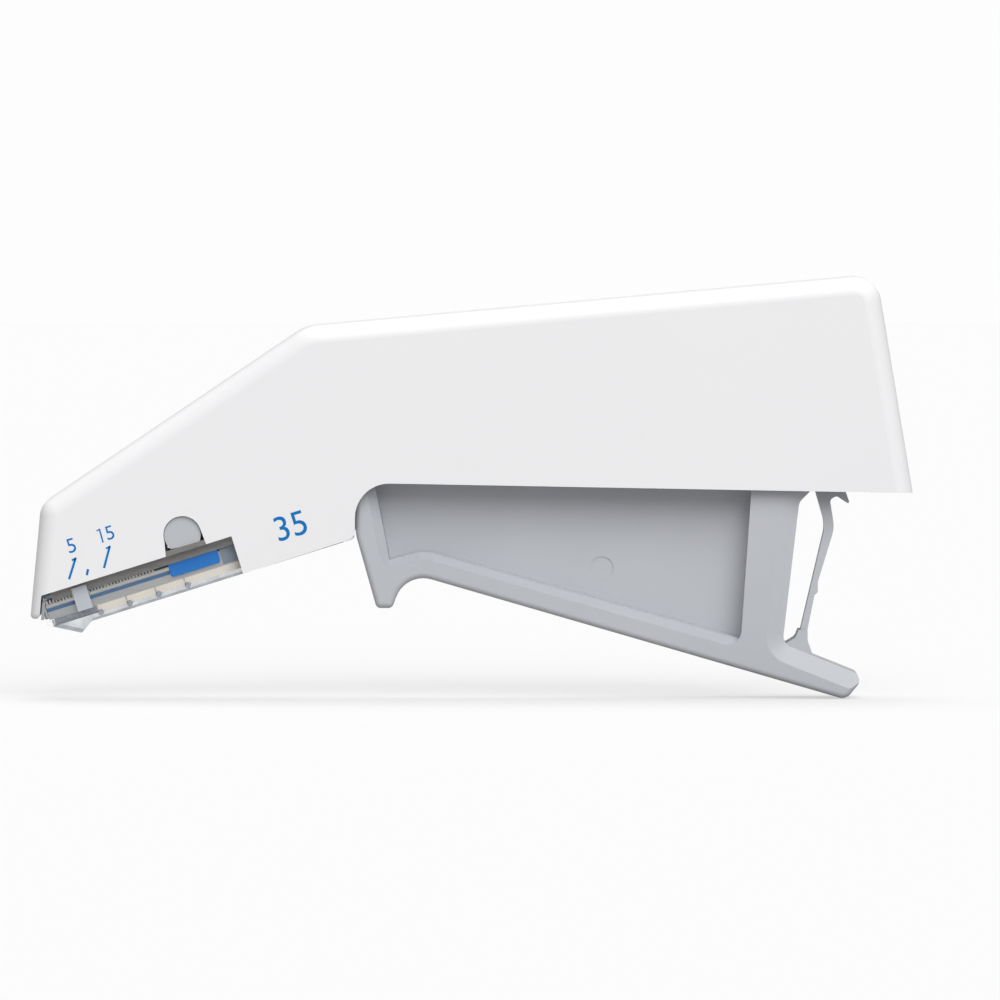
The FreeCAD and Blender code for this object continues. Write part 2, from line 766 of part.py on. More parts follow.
ear = box_corners(dim.ear_x, dim.ear_bottom + dim.ear_play, dim.ear_x + dim.ear_length, dim.ear_bottom + 2)
slab(trigger, "trigger_ears", ear, -dim.ear_half, dim.ear_half)
leaf_room = dim.leaf_half + dim.gap * 2
leaf_slot = box_corners(dim.web_end_x + dim.gap * 2, dim.post_foot_z + dim.leaf_bend_z, dim.flange_x + 2, dim.web_top)
slab(trigger, "trigger_leaf_slot", leaf_slot, -leaf_room, leaf_room, kind="Pocket")
# The leaf's seat: two cheeks that flare out of the tail, with a round socket and a mouth between them
foot = (dim.foot_x, dim.foot_z)
flare = dim.foot_radius * 2
seat = [
    (dim.foot_x - flare, dim.foot_z - 1),
    (dim.foot_x - flare, dim.post_foot_z - dim.gap, 0.2),
    (dim.foot_x - dim.foot_radius * 0.4, dim.post_foot_z + 1, dim.foot_radius),
    (dim.foot_x, dim.foot_z + flare * 1.7),
    (dim.foot_x + dim.leaf_thickness, dim.foot_z + flare * 1.7),
    (dim.foot_x + dim.leaf_thickness, dim.foot_z + flare, dim.foot_radius),
    (dim.foot_x + flare + 0.3, dim.foot_z - 1),
]
slab(trigger, "trigger_seat", seat, -leaf_room - 1, leaf_room + 1)
socket = (foot, dim.foot_radius + dim.foot_play)
slab(trigger, "trigger_socket", socket, -leaf_room, leaf_room, kind="Pocket")
mouth = [
    (dim.foot_x - dim.foot_radius * 0.9, dim.foot_z),
    (dim.foot_x + dim.foot_radius * 0.9, dim.foot_z),
    (dim.foot_x + flare, dim.foot_z + flare * 2),
    (dim.foot_x - flare, dim.foot_z + flare * 2),
    (dim.foot_x - flare, dim.foot_z + dim.foot_radius * 1.6),
]
slab(trigger, "trigger_socket_mouth", mouth, -leaf_room, leaf_room, kind="Pocket")

# Return leaf: a curved spring strip that rocks in the trigger's tail and bears on the ramp
leaf = new_body("return_leaf")
step_share = (dim.leaf_step_z - dim.foot_z) / (dim.leaf_bend_z - dim.foot_z)
step_x = dim.foot_x - dim.leaf_thickness * 0.4 + (dim.leaf_bend_x - dim.foot_x) * step_share + dim.leaf_thickness
leaf_rear_x = dim.leaf_bend_x + dim.leaf_thickness
leaf_outline = [
    (dim.foot_x - dim.leaf_thickness * 0.4, dim.foot_z),
    (dim.foot_x + dim.leaf_thickness * 0.45, dim.foot_z),
    (step_x - dim.leaf_step / 2, dim.leaf_step_z, 0.2),
    (step_x + dim.leaf_step / 2, dim.leaf_step_z + dim.leaf_step, 0.4),
    (step_x + dim.leaf_step / 2, dim.leaf_step_z + dim.leaf_step * 4, 2.0),
    (leaf_rear_x, dim.leaf_bend_z - 0.5, dim.leaf_bend_radius),
    (leaf_rear_x - dim.leaf_thickness / 2, dim.leaf_tip_z + 1, 0.8),
    (dim.leaf_tip_x - dim.leaf_thickness * 1.5, dim.leaf_tip_z + dim.leaf_thickness, 0.6),
    (dim.leaf_tip_x, dim.leaf_tip_z, 0.25),
    (dim.leaf_tip_x - dim.leaf_thickness * 0.7, dim.leaf_tip_z + dim.leaf_thickness * 2, 0.8),
    (dim.leaf_tip_x - dim.leaf_thickness * 1.3, dim.leaf_top_z, 0.6),
    (dim.flange_x - dim.gap, dim.leaf_top_z, 0.6),
    (dim.leaf_bend_x, dim.leaf_bend_z, dim.leaf_bend_radius),
]
slab(leaf, "leaf_strip", leaf_outline, -dim.leaf_half, dim.leaf_half)
slab(leaf, "leaf_foot", (foot, dim.foot_radius), -dim.leaf_half, dim.leaf_half)

# Former: the steel plate that bends the staple, and the carrier that the trigger's tip moves
former = new_body("former")
former_rear = -(dim.front_gap - dim.former_gap - dim.former_thickness)
former_front = former_rear - dim.former_thickness
lean = -dim.former_lean
tip_along = tip[0] * sine(dim.former_lean) + tip[1] * cosine(dim.former_lean)
slot_half = dim.arm_tip_radius + dim.slot_play
plate = box_corners(former_front, dim.former_bottom, former_rear, dim.former_top)
slab(former, "former_plate", plate, -dim.former_half, dim.former_half, lean=lean)
notch = box_corners(former_front - 1, dim.former_bottom - 1, former_rear + 1,
                    dim.former_bottom + dim.former_notch_height)
notch_half = dim.former_notch_half
slab(former, "former_notch", notch, -notch_half, notch_half, kind="Pocket", lean=lean)
slot = box_corners(former_front - 1, tip_along - slot_half, dim.carrier_rear + 1, tip_along + slot_half)
slot_width = dim.arm_half + dim.slot_play
slab(former, "former_slot", slot, -slot_width, slot_width, kind="Pocket", lean=lean)
carrier = new_body("former_carrier")
carrier_bottom = tip_along - slot_half - dim.carrier_wall
block = box_corners(former_rear, carrier_bottom, dim.carrier_rear, dim.former_top)
slab(carrier, "carrier_block", block, -dim.carrier_half, dim.carrier_half, lean=lean)
slab(carrier, "carrier_slot", slot, -slot_width, slot_width, kind="Pocket", lean=lean)

# Cartridge body: a clear trough with a keel at its nose, pads on its sides and ribs below
cartridge = new_body("cartridge_body", row_angle)
trough = [
    (dim.nose_u, dim.nose_low, 0.3),
    (dim.keel_u, dim.keel_w, 0.4),
    (dim.keel_rear, dim.body_bottom),
    (dim.body_rear, dim.body_bottom),
    (dim.body_rear, dim.body_top),
    (dim.shoulder, dim.body_top),
    (dim.nose_u, dim.track_top),
]
slab(cartridge, "cartridge_trough", trough, -dim.body_half, dim.body_half)
peg_half = dim.body_half + dim.peg_proud
for i in range(int(dim.peg_count.value)):
    place = dim.peg_front + dim.peg_pitch * i
    name = "cartridge_peg_%d" % (i + 1)
    peg = box_corners(place, dim.body_floor, place + dim.peg_width, dim.peg_top)
    slab(cartridge, name, peg, -peg_half, peg_half)
    knob = ((place + dim.peg_width, dim.body_floor), dim.peg_radius)
    slab(cartridge, name + "_knob", knob, -peg_half, peg_half)
hollow = box_corners(-2, dim.body_floor, dim.body_rear + 1, dim.body_top + 1)
slab(cartridge, "cartridge_hollow", hollow, -dim.body_inner, dim.body_inner, kind="Pocket")

# Frosted pads on the trough's sides, a separate moulding on each side
pads = new_body("cartridge_pads", row_angle)
pads.AllowCompound = True
pad = box_corners(dim.pad_front, dim.pad_bottom, dim.pad_front + dim.pad_length, dim.pad_bottom + dim.pad_height)
for side in (1, -1):
    name = "pad_left" if side > 0 else "pad_right"
    slab(pads, name, pad, *span(side, dim.body_half, dim.body_half + dim.pad_proud))

# The pieces in the trough, from below: strip, track, rail, cover, and the plug behind them
inner_rear = dim.body_rear - dim.plug_length
strip = new_body("guide_strip", row_angle)
strip_outline = box_corners(dim.strip_front, dim.body_floor, inner_rear, dim.track_bottom)
slab(strip, "strip_bar", strip_outline, -dim.strip_half, dim.strip_half)

track = new_body("staple_track", row_angle)
track_floor = dim.track_bottom + dim.track_wall
track_inner = dim.track_half - dim.track_wall
track_outline = box_corners(dim.track_front, dim.track_bottom, inner_rear, dim.track_top)
slab(track, "track_block", track_outline, -dim.track_half, dim.track_half)
track_hollow = box_corners(dim.track_front - 1, track_floor, inner_rear + 1, dim.track_top + 1)
slab(track, "track_hollow", track_hollow, -track_inner, track_inner, kind="Pocket")

cant = dim.former_lean + dim.cartridge_angle
wire = dim.staple_wire
crown_w = dim.rail_top + wire / 2 * (cosine(cant) + sine(cant)) + 0.01
crown_u = front_u(-dim.staple_depth, crown_w)
crown_along = crown_u * sine(cant) + crown_w * cosine(cant)

rail = new_body("anvil_rail", row_angle)
rail_inner = dim.rail_half - dim.rail_wall
rail_outline = [
    (front_u(dim.gap / 2, track_floor), track_floor),
    (inner_rear, track_floor),
    (inner_rear, dim.rail_top),
    (front_u(dim.gap / 2, dim.rail_top), dim.rail_top),
]
slab(rail, "rail_block", rail_outline, -dim.rail_half, dim.rail_half)
tongue_top = crown_along - wire / 2
tongue = [
    former_in_cartridge(-dim.tongue_reach, tongue_top - dim.tongue_thickness),
    former_in_cartridge(dim.tongue_reach, tongue_top - dim.tongue_thickness),
    former_in_cartridge(dim.tongue_reach, tongue_top - dim.tongue_thickness / 2),
    former_in_cartridge(0, tongue_top),
    former_in_cartridge(-dim.tongue_reach, tongue_top),
]
slab(rail, "rail_anvil_seat", tongue, -dim.tongue_half, dim.tongue_half, kind="Pocket")
rail_hollow = box_corners(dim.rail_hollow_front, track_floor - 1, inner_rear + 1, dim.rail_top - dim.rail_wall)
slab(rail, "rail_hollow", rail_hollow, -rail_inner, rail_inner, kind="Pocket")
rail_slot = box_corners(dim.rail_slot_front, track_floor, inner_rear + 1, dim.rail_top + 1)
slab(rail, "rail_slot", rail_slot, -dim.rail_slot_half, dim.rail_slot_half, kind="Pocket")

# Anvil: the tongue let into the rail's front, round which a staple is bent
anvil = new_body("anvil", row_angle)
slab(anvil, "anvil_tongue", tongue, -dim.tongue_half, dim.tongue_half)

cover = new_body("cartridge_cover", row_angle)
cover_outline = box_corners(dim.cover_front, dim.cover_skirt, inner_rear, dim.cover_top)
slab(cover, "cover_block", cover_outline, -dim.body_inner, dim.body_inner)
cover_inner = dim.body_inner - dim.track_wall
cover_hollow = box_corners(dim.cover_front - 1, dim.cover_skirt - 1, inner_rear + 1, dim.cover_top - dim.track_wall)
slab(cover, "cover_hollow", cover_hollow, -cover_inner, cover_inner, kind="Pocket")

plug = new_body("cartridge_end_plug", row_angle)
plug_outline = box_corners(inner_rear, dim.body_floor, dim.body_rear, dim.body_top)
slab(plug, "plug_block", plug_outline, -dim.body_inner, dim.body_inner)

# The rod that keeps the spring straight sits in the plug and runs through the pusher's foot
rod_w = (track_floor + dim.rail_top - dim.rail_wall) / 2
rod_rear = inner_rear + dim.plug_length / 2
rod_hole = box_corners(inner_rear - 1, rod_w - dim.rod_half, rod_rear, rod_w + dim.rod_half)
slab(plug, "plug_seat", rod_hole, -dim.rod_half, dim.rod_half, kind="Pocket")
rod = new_body("spring_rod", row_angle)
rod_outline = box_corners(dim.rod_front, rod_w - dim.rod_half, rod_rear, rod_w + dim.rod_half)
slab(rod, "rod_bar", rod_outline, -dim.rod_half, dim.rod_half)

# The ejector spring lifts the closed staple off the tongue
ejector = new_body("ejector_spring", row_angle)
ejector_rise = dim.rail_top - dim.rail_wall - dim.ejector_thickness * 2
ejector_outline = [
    (dim.ejector_front, ejector_rise),
    (dim.ejector_bend, track_floor, dim.hook_radius),
    (dim.ejector_rear, track_floor),
    (dim.ejector_rear, track_floor + dim.ejector_thickness),
    (dim.ejector_bend, track_floor + dim.ejector_thickness, dim.hook_radius),
    (dim.ejector_front, ejector_rise + dim.ejector_thickness),
]
slab(ejector, "ejector_strip", ejector_outline, -dim.ejector_half, dim.ejector_half)

# Pusher: a bridge with cheeks outside the track, a block behind the staples and a foot in the rail's slot
pusher = new_body("staple_pusher", row_angle)
stack_length = (dim.staple_count - 1) * dim.staple_pitch
pusher_rear = dim.pusher_front + dim.pusher_length
inset = dim.pusher_corner
bridge = box_corners(dim.pusher_front + inset, dim.bridge_bottom, pusher_rear - inset, dim.bridge_top)
slab(pusher, "pusher_bridge", bridge, -dim.pusher_half, dim.pusher_half)
for side in (1, -1):
    name = "pusher_cheek_left" if side > 0 else "pusher_cheek_right"
    cheek = box_corners(dim.pusher_front, dim.cheek_bottom, pusher_rear, dim.bridge_top)
    cheek = [(*corner, dim.pusher_corner) for corner in cheek]
    slab(pusher, name, cheek, *span(side, dim.cheek_inner, dim.pusher_half))
behind_stack = wire / 2 - dim.staple_depth + 0.02
block = [
    (front_u(behind_stack, dim.bridge_bottom) + stack_length, dim.bridge_bottom),
    (pusher_rear, dim.bridge_bottom),
    (pusher_rear, dim.block_top),
    (front_u(behind_stack, dim.block_top) + stack_length, dim.block_top),
]
slab(pusher, "pusher_block", block, -dim.block_half, dim.block_half)
foot_outline = box_corners(pusher_rear - dim.foot_length, dim.foot_bottom, pusher_rear, dim.bridge_top)
slab(pusher, "pusher_foot", foot_outline, -dim.foot_half, dim.foot_half)
slider = box_corners(pusher_rear - dim.foot_length, dim.foot_bottom, pusher_rear, dim.slider_top)
slab(pusher, "pusher_slider", slider, -dim.slider_half, dim.slider_half)
hole_half = dim.rod_half + dim.rod_play
rod_way = box_corners(pusher_rear - dim.foot_length - 1, rod_w - hole_half, pusher_rear + 1, rod_w + hole_half)
slab(pusher, "pusher_rod_way", rod_way, -hole_half, hole_half, kind="Pocket")


# Staples: a crown with two legs, leaning like the former
def staple_solid(index):
    solids = []
    spot_u = crown_u.value + index * dim.staple_pitch.value
    half_wire = wire.value / 2
    half = dim.staple_half.value
    height = dim.staple_height.value
    crown = Part.makeBox(wire.value, half * 2, wire.value, Vector(-half_wire, -half, -half_wire))
    solids.append(crown)
    for y in (-half, half - wire.value):
        leg = Part.makeBox(wire.value, wire.value, height - wire.value, Vector(-half_wire, y, half_wire - height))
        solids.append(leg)
    solid = solids[0].fuse(solids[1:]).removeSplitter().Solids[0]
    # The box's Z first leans with the former, then the whole staple goes to its place in the row
    solid.rotate(Vector(), Vector(0, 1, 0), cant.value)
    solid.translate(Vector(spot_u, 0, crown_w.value))
    solid.rotate(Vector(), Vector(0, -1, 0), row_angle.value)
    return solid


ready = doc.addObject("Part::Feature", "ready_staple")
ready.Label = "ready_staple"
ready.Shape = staple_solid(0)
stack = doc.addObject("Part::Feature", "staple_stack")
stack.Label = "staple_stack"
stack.Shape = Part.makeCompound([staple_solid(i) for i in range(1, int(dim.staple_count.value))])
parts.append(ready)
parts.append(stack)

# Pusher spring: a coil of square wire inside the rail, from the pusher's foot to the plug
def spring_solid():
    steps = 10
    half_wire = dim.spring_wire.value / 2
    radius = dim.spring_radius.value - half_wire
    start_u = pusher_rear.value + half_wire
    length = (inner_rear - pusher_rear - dim.spring_wire).value
    turns = int(dim.spring_turns.value)
    sections = []
    for i in range(turns * steps + 1):
        turn = 2 * math.pi * i / steps
        outward = Vector(0, math.cos(turn), math.sin(turn))
        centre = Vector(start_u + length * i / (turns * steps), 0, rod_w.value) + outward * radius
        corners = []
        for across, along in ((-1, -1), (1, -1), (1, 1), (-1, 1)):
            corners.append(centre + outward * across * half_wire + Vector(along * half_wire, 0, 0))
        sections.append(Part.makePolygon(corners + corners[:1]))
    solid = Part.makeLoft(sections, True, True)
    solid.rotate(Vector(), Vector(0, -1, 0), row_angle.value)
    return solid


spring = doc.addObject("Part::Feature", "pusher_spring")
spring.Label = "pusher_spring"
spring.Shape = spring_solid()
parts.append(spring)

# Every object is checked before anything is written
doc.recompute()
for item in doc.Objects:
    if "Invalid" in item.State or "Error" in item.State:
        raise RuntimeError("%s failed: %s" % (item.Name, item.State))
os.makedirs("parts", exist_ok=True)
for part in parts:
    shape = part.Shape
    if shape.isNull() or not shape.isValid() or shape.Volume < 0.01:
        raise RuntimeError("%s has no sound shape" % part.Label)
    shape.exportStep("parts/%s.step" % part.Label)
    print("%-20s %3d solids %9.1f mm3" % (part.Label, len(shape.Solids), shape.Volume))
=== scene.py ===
import bpy
import math
from mathutils import Matrix, Vector


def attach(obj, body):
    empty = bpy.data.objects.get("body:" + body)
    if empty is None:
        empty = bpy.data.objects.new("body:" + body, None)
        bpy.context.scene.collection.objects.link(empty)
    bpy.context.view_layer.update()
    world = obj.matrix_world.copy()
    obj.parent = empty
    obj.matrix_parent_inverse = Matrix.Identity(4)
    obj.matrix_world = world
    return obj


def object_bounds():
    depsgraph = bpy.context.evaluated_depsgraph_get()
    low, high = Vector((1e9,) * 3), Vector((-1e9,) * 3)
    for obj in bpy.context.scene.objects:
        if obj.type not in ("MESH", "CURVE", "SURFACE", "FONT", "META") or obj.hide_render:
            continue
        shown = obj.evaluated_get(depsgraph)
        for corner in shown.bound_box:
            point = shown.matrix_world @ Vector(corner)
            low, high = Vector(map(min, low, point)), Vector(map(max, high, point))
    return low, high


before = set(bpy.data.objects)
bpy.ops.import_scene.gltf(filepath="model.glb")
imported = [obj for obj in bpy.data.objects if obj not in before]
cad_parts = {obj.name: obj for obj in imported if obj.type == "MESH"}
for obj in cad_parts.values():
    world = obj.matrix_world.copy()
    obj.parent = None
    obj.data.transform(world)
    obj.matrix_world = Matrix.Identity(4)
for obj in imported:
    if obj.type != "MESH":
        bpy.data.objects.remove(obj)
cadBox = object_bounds()
print("frame loaded:", len(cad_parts), "nodes")

# A disposable skin stapler: white housing, grey trigger, clear cartridge at the nose.
# Everything is in metres. The nose points to -X and the printed side faces -Y.

mm = 0.001


def linear(hexColour):
    # sRGB hex to the linear colour that a shader socket wants
    channels = []
    for i in (0, 2, 4):
        value = int(hexColour[i:i + 2], 16) / 255
        channels.append(value / 12.92 if value <= 0.04045 else ((value + 0.055) / 1.055) ** 2.4)
    return (*channels, 1.0)


def addNode(material, kind, settings=None, links=None):
    # A node with its settings (by attribute or by socket name) and links (socket: (node, output))
    node = material.node_tree.nodes.new(kind)
    for key, value in (settings or {}).items():
        if key in node.inputs:
            node.inputs[key].default_value = value
        else:
            setattr(node, key, value)
    for key, (source, output) in (links or {}).items():
        material.node_tree.links.new(source.outputs[output], node.inputs[key])
    return node


def newMaterial(name):
    material = bpy.data.materials.new(name)
    material.use_nodes = True
    material.node_tree.nodes.clear()
    return material


def finishMaterial(material, shader):
    output = addNode(material, "ShaderNodeOutputMaterial")
    material.node_tree.links.new(shader.outputs[0], output.inputs["Surface"])
    return material


def perMetre(sizeInMm):
    # Texture scale for a feature of this size: one cell per feature
    return 1000.0 / sizeInMm


# Housing: ABS, injection moulded in a fine spark-eroded cavity, so a soft satin skin with no grain
# that the eye can make out from a distance
housingAbs = {
    "colour": "e8e7e8",
    "shade": "e3e3e5",
    "roughness": 0.42,
    "ior": 1.53,
    "specular": 0.5,
    "grainMm": 0.35,
    "grainBump": 0.05,
    "driftMm": 45.0,
}


# Depth of the relief on each kind of surface, in mm
relief = {
    "mouldedPlastic": 0.02,
    "clearPlastic": 0.3,
    "stapleRow": 0.1,
    "rolledSteel": 0.01,
}


def makeMouldedPlastic(name, look):
    material = newMaterial(name)
    coords = addNode(material, "ShaderNodeTexCoord")
    drift = addNode(material, "ShaderNodeTexNoise", {"Scale": perMetre(look["driftMm"]), "Detail": 2.0},
                    {"Vector": (coords, "Object")})
    tone = addNode(material, "ShaderNodeMix", {"data_type": "RGBA"}, {"Factor": (drift, "Fac")})
    tone.inputs["A"].default_value = linear(look["colour"])
    tone.inputs["B"].default_value = linear(look["shade"])
    grain = addNode(material, "ShaderNodeTexNoise", {"Scale": perMetre(look["grainMm"]), "Detail": 1.5},
                    {"Vector": (coords, "Object")})
    bump = addNode(material, "ShaderNodeBump",
                   {"Strength": look["grainBump"], "Distance": relief["mouldedPlastic"] * mm},
                   {"Height": (grain, "Fac")})
    shader = addNode(material, "ShaderNodeBsdfPrincipled",
                     {"Roughness": look["roughness"], "IOR": look["ior"],
                      "Specular IOR Level": look["specular"]}, {"Normal": (bump, "Normal")})
    material.node_tree.links.new(mixColour(tone), shader.inputs["Base Color"])
    return finishMaterial(material, shader)


def mixColour(mix):
    # The colour output of a Mix node, which shares its name with the float and vector ones
    return next(socket for socket in mix.outputs if socket.type == "RGBA" and socket.enabled)


# Trigger and leaf: acetal-like grey, moulded smoother than the housing, with a soft sheen
triggerAcetal = {
    "colour": "b9bbc0",
    "shade": "b0b3b8",
    "roughness": 0.36,
    "ior": 1.48,
    "specular": 0.5,
    "grainMm": 0.5,
    "grainBump": 0.03,
    "driftMm": 22.0,
}

# Pusher: glossy dyed polypropylene in a clear mid blue
pusherPolypropylene = {
    "colour": "0084de",
    "shade": "0076c8",
    "roughness": 0.34,
    "specular": 0.2,
    "ior": 1.49,
    "grainMm": 0.4,
    "grainBump": 0.02,
    "driftMm": 6.0,
}

# Guide strip: undyed acetal, a warm ivory that looks slightly waxy
stripAcetal = {
    "colour": "f5eee2",
    "shade": "ede4d6",
    "roughness": 0.45,
    "ior": 1.48,
    "specular": 0.5,
    "grainMm": 0.4,
    "grainBump": 0.02,
    "driftMm": 9.0,
}


# Cartridge: clear polycarbonate, polished in the mould. It lets most light through where it is seen
# face on and mirrors more at its edges.
clearPolycarbonate = {
    "tint": "c6cdd4",
    "roughness": 0.06,
    "ior": 1.585,
    "clearAlpha": 0.025,
    "edgeAlpha": 0.75,
    "edgeBlend": 0.3,
    "flowMm": 2.2,
    "flowBump": 0.08,
    # Below this height over the staple row the trough is solid right across, so it takes more colour
    "thickBelowMm": -1.3,
    "thickFadeMm": 0.1,
    "thickAlpha": 0.34,
    "rowAngle": 17.4,
}

# Side pads: the same polycarbonate with a blasted skin, so it scatters light and hides what is behind it
frostedPolycarbonate = {
    "tint": "c3c7cf",
    "roughness": 0.55,
    "ior": 1.585,
    "clearAlpha": 0.8,
    "edgeAlpha": 0.95,
    "edgeBlend": 0.4,
    "flowMm": 1.2,
    "flowBump": 0.08,
    "thickBelowMm": -1.3,
    "thickFadeMm": 0.1,
    "thickAlpha": 0.0,
    "rowAngle": 17.4,
}


# Pegs under the strip and the nose's floor: clear too, but thick and small, so they look darker than the wall
smokyPolycarbonate = {
    "tint": "858e9b",
    "roughness": 0.15,
    "ior": 1.585,
    "clearAlpha": 0.42,
    "edgeAlpha": 0.95,
    "edgeBlend": 0.4,
    "flowMm": 2.0,
    "flowBump": 0.08,
    "thickBelowMm": -1.3,
    "thickFadeMm": 0.1,
    "thickAlpha": 0.0,
    "rowAngle": 17.4,
}


def makeClearPolycarbonate(name, look):
    material = newMaterial(name)
    coords = addNode(material, "ShaderNodeTexCoord")
    flow = addNode(material, "ShaderNodeTexNoise", {"Scale": perMetre(look["flowMm"]), "Detail": 1.0},
                   {"Vector": (coords, "Object")})
    bump = addNode(material, "ShaderNodeBump",
                   {"Strength": look["flowBump"], "Distance": relief["clearPlastic"] * mm},
                   {"Height": (flow, "Fac")})
    facing = addNode(material, "ShaderNodeLayerWeight", {"Blend": look["edgeBlend"]},
                     {"Normal": (bump, "Normal")})
    veil = addNode(material, "ShaderNodeMapRange",
                   {"To Min": look["clearAlpha"], "To Max": look["edgeAlpha"]},
                   {"Value": (facing, "Facing")})
    level = addNode(material, "ShaderNodeMapping", {"Rotation": (0, math.radians(look["rowAngle"]), 0)},
                    {"Vector": (coords, "Object")})
    height = addNode(material, "ShaderNodeSeparateXYZ", {}, {"Vector": (level, "Vector")})
    solid = addNode(material, "ShaderNodeMapRange",
                    {"From Min": (look["thickBelowMm"] + look["thickFadeMm"]) * mm,
                     "From Max": (look["thickBelowMm"] - look["thickFadeMm"]) * mm,
                     "To Max": look["thickAlpha"] * 2},
                    {"Value": (height, "Z")})
    cloud = addNode(material, "ShaderNodeMath", {"operation": "MULTIPLY"})
    material.node_tree.links.new(solid.outputs["Result"], cloud.inputs[0])
    material.node_tree.links.new(flow.outputs["Fac"], cloud.inputs[1])
    alpha = addNode(material, "ShaderNodeMath", {"operation": "ADD", "use_clamp": True})
    material.node_tree.links.new(veil.outputs["Result"], alpha.inputs[0])
    material.node_tree.links.new(cloud.outputs["Value"], alpha.inputs[1])
    shader = addNode(material, "ShaderNodeBsdfPrincipled",
                     {"Base Color": linear(look["tint"]), "Roughness": look["roughness"], "IOR": look["ior"]},
                     {"Normal": (bump, "Normal"), "Alpha": (alpha, "Value")})
    return finishMaterial(material, shader)


# Track, rail, cover and former: stainless strip, rolled along its length, so fine scratches run that way
rolledStainless = {
    "colour": "7f7d7b",
    "shade": "a3a19e",
    "roughness": 0.36,
    "lineMm": 0.12,
    "lineStretch": 60.0,
    "angle": 17.4,
}

# Staple track: the same strip from a brighter coil, a little bluer
trackStainless = {
    "colour": "b2b3b4",
    "shade": "cfcfce",
    "roughness": 0.38,
    "lineMm": 0.12,
    "lineStretch": 60.0,
    "angle": 17.4,
}

# The track's folded lip: the same strip, made much brighter as a painted highlight where the lip catches the
# light. The anvil and the ejector spring use it as plain polished steel.
polishedAndHighlightStainless = {
    "colour": "d8d4cb",
    "shade": "f4f1ea",
    "roughness": 0.2,
    "lineMm": 0.12,
    "lineStretch": 60.0,
    "angle": 17.4,
}

# Staples: drawn stainless wire, nearly bright
drawnStainless = {
    "colour": "c9cbcd",
    "shade": "dcdddf",
    "roughness": 0.22,
    "lineMm": 0.1,
    "lineStretch": 8.0,
    "angle": 17.4,
}


# The row of staples: the same wire, packed side by side, with painted shade between the round crowns, each
# crown going dark towards its neighbours. The shaded gaps are drawn a little wider than the real 0.09 mm, which
# is too fine to show.
stapleRow = {
    "wire": "d5d6d7",
    "gap": "2f3033",
    "roughness": 0.3,
    "pitchMm": 0.586,
    "firstMm": 0.92,
    "angle": 17.4,
    "wearMm": 1.6,
    "wear": 0.9,
    "darkest": 0.55,
    "brightest": 1.15,
    "bump": 0.3,
}


def makeStapleRow(name, look):
    material = newMaterial(name)
    coords = addNode(material, "ShaderNodeTexCoord")
    turned = addNode(material, "ShaderNodeMapping",
                     {"Rotation": (0, math.radians(look["angle"]), 0),
                      "Location": (-look["firstMm"] * mm, 0, 0)},
                     {"Vector": (coords, "Object")})
    bands = addNode(material, "ShaderNodeTexWave",
                    {"Scale": 2 * math.pi / 20 * perMetre(look["pitchMm"]), "Distortion": 0.0},
                    {"Vector": (turned, "Vector")})
    wear = addNode(material, "ShaderNodeTexNoise", {"Scale": perMetre(look["wearMm"]), "Detail": 2.0},
                   {"Vector": (coords, "Object")})
    uneven = addNode(material, "ShaderNodeMath", {"operation": "MULTIPLY_ADD"})
    material.node_tree.links.new(wear.outputs["Fac"], uneven.inputs[0])
    uneven.inputs[1].default_value = look["wear"]
    material.node_tree.links.new(bands.outputs["Fac"], uneven.inputs[2])
    # Painted shade: the bands go dark where one crown meets the next
    crownShadeBand = addNode(material, "ShaderNodeMapRange",
                   {"From Min": look["darkest"], "From Max": look["brightest"]}, {"Value": (uneven, "Value")})
    tone = addNode(material, "ShaderNodeMix", {"data_type": "RGBA"}, {"Factor": (crownShadeBand, "Result")})
    tone.inputs["A"].default_value = linear(look["gap"])
    tone.inputs["B"].default_value = linear(look["wire"])
    bump = addNode(material, "ShaderNodeBump",
                   {"Strength": look["bump"], "Distance": relief["stapleRow"] * mm}, {"Height": (bands, "Fac")})
    shader = addNode(material, "ShaderNodeBsdfPrincipled", {"Metallic": 1.0, "Roughness": look["roughness"]},
                     {"Normal": (bump, "Normal")})
    material.node_tree.links.new(mixColour(tone), shader.inputs["Base Color"])
    return finishMaterial(material, shader)


# Along the scratches the roughness goes from this share of its middle value to the other
scratches = {
    "smoothest": 0.7,
    "roughest": 1.3,
    "bump": 0.12,
}


def makeRolledSteel(name, look):
    material = newMaterial(name)
    coords = addNode(material, "ShaderNodeTexCoord")
    along = 1 / look["lineStretch"]
    turned = addNode(material, "ShaderNodeMapping",
                     {"Rotation": (0, math.radians(look["angle"]), 0), "Scale": (along, 1, 1)},
                     {"Vector": (coords, "Object")})
    lines = addNode(material, "ShaderNodeTexNoise", {"Scale": perMetre(look["lineMm"]), "Detail": 3.0},
                    {"Vector": (turned, "Vector")})
    tone = addNode(material, "ShaderNodeMix", {"data_type": "RGBA"}, {"Factor": (lines, "Fac")})
    tone.inputs["A"].default_value = linear(look["colour"])
    tone.inputs["B"].default_value = linear(look["shade"])
    sheen = addNode(material, "ShaderNodeMapRange",
                    {"To Min": look["roughness"] * scratches["smoothest"],
                     "To Max": look["roughness"] * scratches["roughest"]},
                    {"Value": (lines, "Fac")})
    bump = addNode(material, "ShaderNodeBump",
                   {"Strength": scratches["bump"], "Distance": relief["rolledSteel"] * mm},
                   {"Height": (lines, "Fac")})
    shader = addNode(material, "ShaderNodeBsdfPrincipled", {"Metallic": 1.0},
                     {"Roughness": (sheen, "Result"), "Normal": (bump, "Normal")})
    material.node_tree.links.new(mixColour(tone), shader.inputs["Base Color"])
    return finishMaterial(material, shader)


# Guide band below the row: polypropylene dyed a dull blue, seen through the clear wall
bandPolypropylene = {
    "colour": "3d6a99",
    "shade": "4f79a5",
    "roughness": 0.4,
    "ior": 1.49,
    "specular": 0.5,
    "grainMm": 0.4,
    "grainBump": 0.02,
    "driftMm": 8.0,
}
